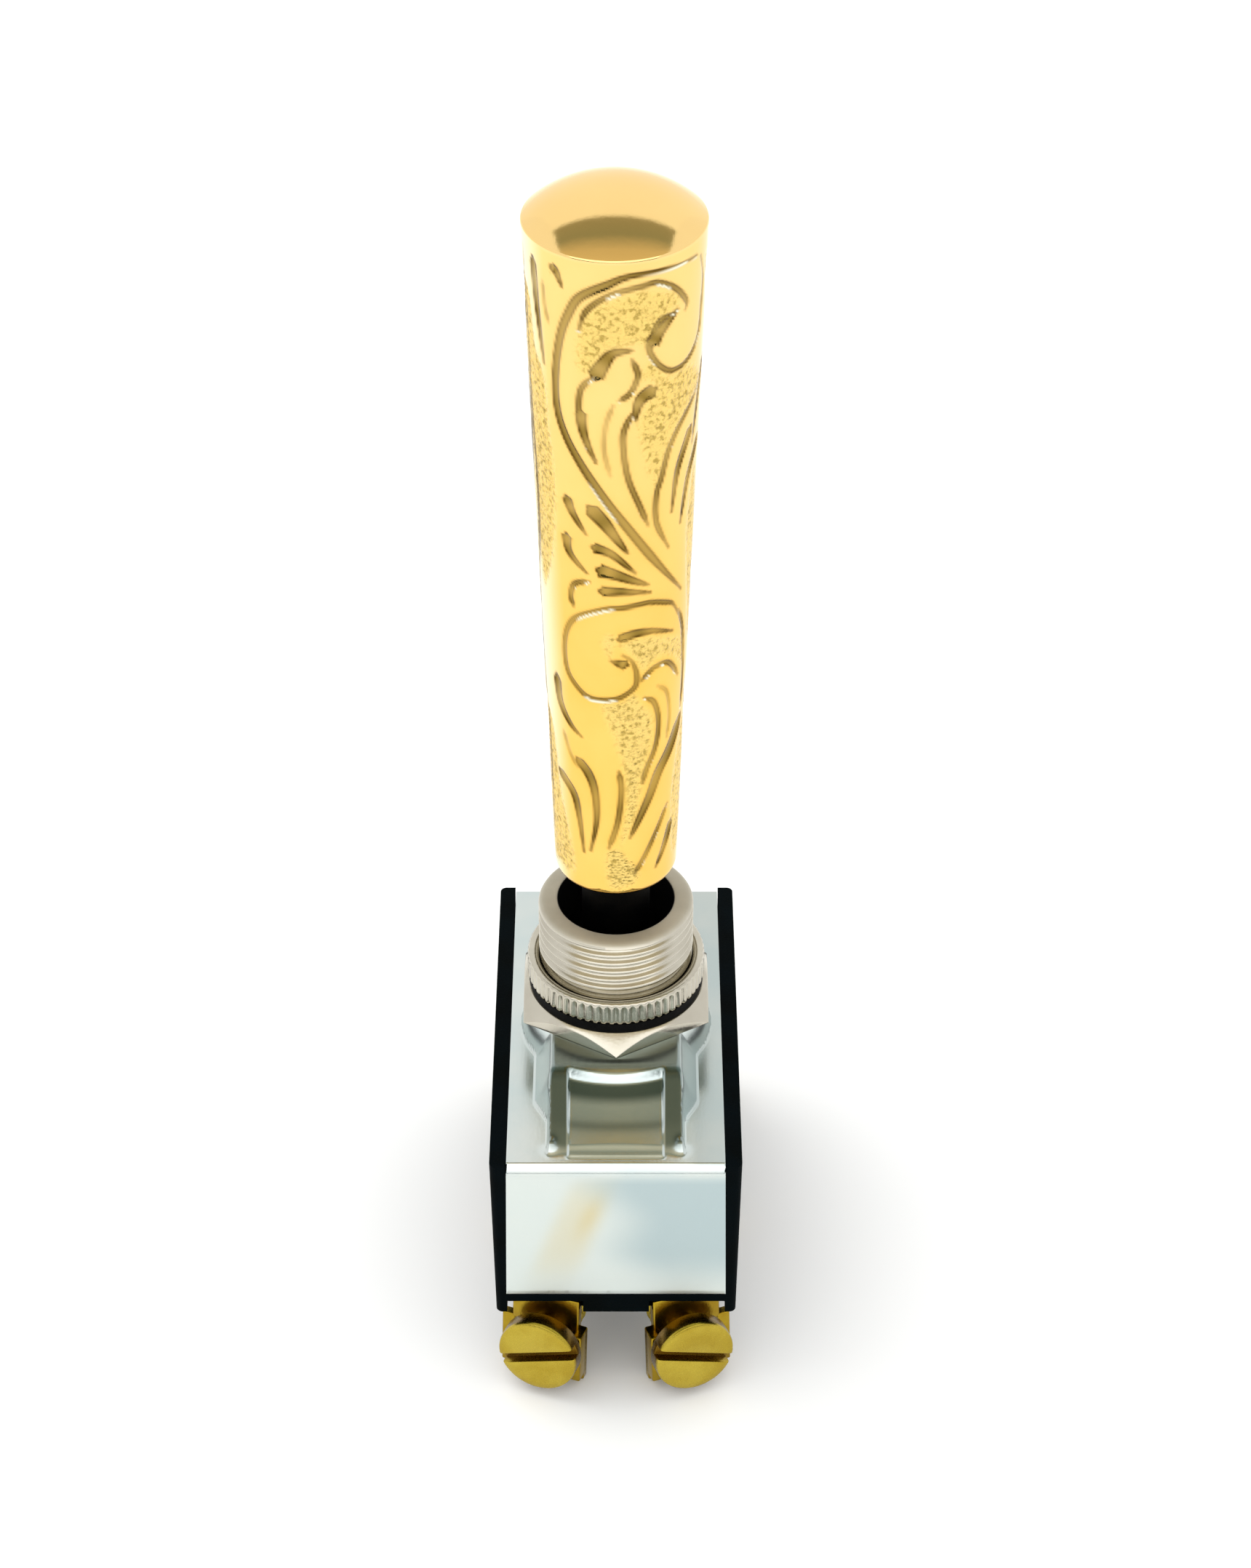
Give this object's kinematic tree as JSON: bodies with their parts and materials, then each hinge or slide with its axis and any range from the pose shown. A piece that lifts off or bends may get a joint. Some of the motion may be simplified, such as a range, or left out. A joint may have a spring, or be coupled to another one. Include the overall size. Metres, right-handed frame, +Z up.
{
  "type": "toggle switch",
  "caption": "Panel-mount double-pole toggle switch, centre off, with screw terminals, threaded bushing and a long tapered, engraved gold handle.",
  "frame": {"origin": "on the bushing's axis, in the plane of the frame's raised boss where the hex nut seats, which is the centre of the panel hole", "axes": "+Z up the bushing towards the handle, Y along the case in the lever's plane of travel, X across the case through the pivot pin"},
  "size_m": [0.019, 0.0392, 0.0961],
  "materials": {
    "case": "moulded black phenolic",
    "zinc_steel": "bright zinc plate, faint iridescence",
    "fibre": "vulcanised fibre sheet",
    "nickel": "satin nickel plate on brass",
    "steel": "plain steel",
    "seal": "black rubber",
    "lever_black": "black oxide",
    "yoke": "moulded insulator",
    "gold": "gold plate, hand engraved and polished",
    "brass": "stamped brass",
    "silver": "silver contact",
    "screw_brass": "turned brass"
  },
  "bodies": {
    "base": {"base_housing": "case", "top_frame": "zinc_steel", "insulator_liner": "fibre", "bushing": "nickel", "pivot_pin": "steel", "hex_nut": "nickel", "sealing_washer": "seal", "knurled_nut": "nickel", "center_terminal_left": "brass", "center_terminal_right": "brass", "terminal_screws": "screw_brass", "end_terminal_front_left": "brass", "end_terminal_front_right": "brass", "end_terminal_rear_left": "brass", "end_terminal_rear_right": "brass", "fixed_contact_front_left": "silver", "fixed_contact_front_right": "silver", "fixed_contact_rear_left": "silver", "fixed_contact_rear_right": "silver"},
    "lever": {"lever": "lever_black", "actuator_yoke": "yoke", "handle": "gold", "spring_left": "steel", "spring_right": "steel"},
    "plunger_left": {"plunger_left": "yoke"},
    "rocker_left": {"rocker_left": "brass", "moving_contacts_left": "silver"},
    "plunger_right": {"plunger_right": "yoke"},
    "rocker_right": {"rocker_right": "brass", "moving_contacts_right": "silver"}
  },
  "joints": [
    {"name": "lever_tilt", "type": "hinge", "parent": "base", "child": "lever", "pos_m": [0, 0, 0.0036], "axis": [1, 0, 0], "range_deg": [-13, 13]},
    {"name": "plunger_left_slide", "type": "slide", "parent": "lever", "child": "plunger_left", "axis": [0, 0, 1], "range_m": [0, 0.0006], "stiffness_N_per_m": 300, "springref_m": -0.004, "deforming": ["spring_left"]},
    {"name": "rocker_left_tilt", "type": "hinge", "parent": "base", "child": "rocker_left", "pos_m": [-0.0039, 0, -0.0126], "axis": [1, 0, 0], "range_deg": [-5, 5]},
    {"name": "plunger_right_slide", "type": "slide", "parent": "lever", "child": "plunger_right", "axis": [0, 0, 1], "range_m": [0, 0.0006], "stiffness_N_per_m": 300, "springref_m": -0.004, "deforming": ["spring_right"]},
    {"name": "rocker_right_tilt", "type": "hinge", "parent": "base", "child": "rocker_right", "pos_m": [0.0039, 0, -0.0126], "axis": [1, 0, 0], "range_deg": [-5, 5]}
  ],
  "couplings": [
    {"joint": "rocker_left_tilt", "follows": "lever_tilt", "ratio": -0.384},
    {"joint": "rocker_right_tilt", "follows": "lever_tilt", "ratio": -0.384}
  ]
}
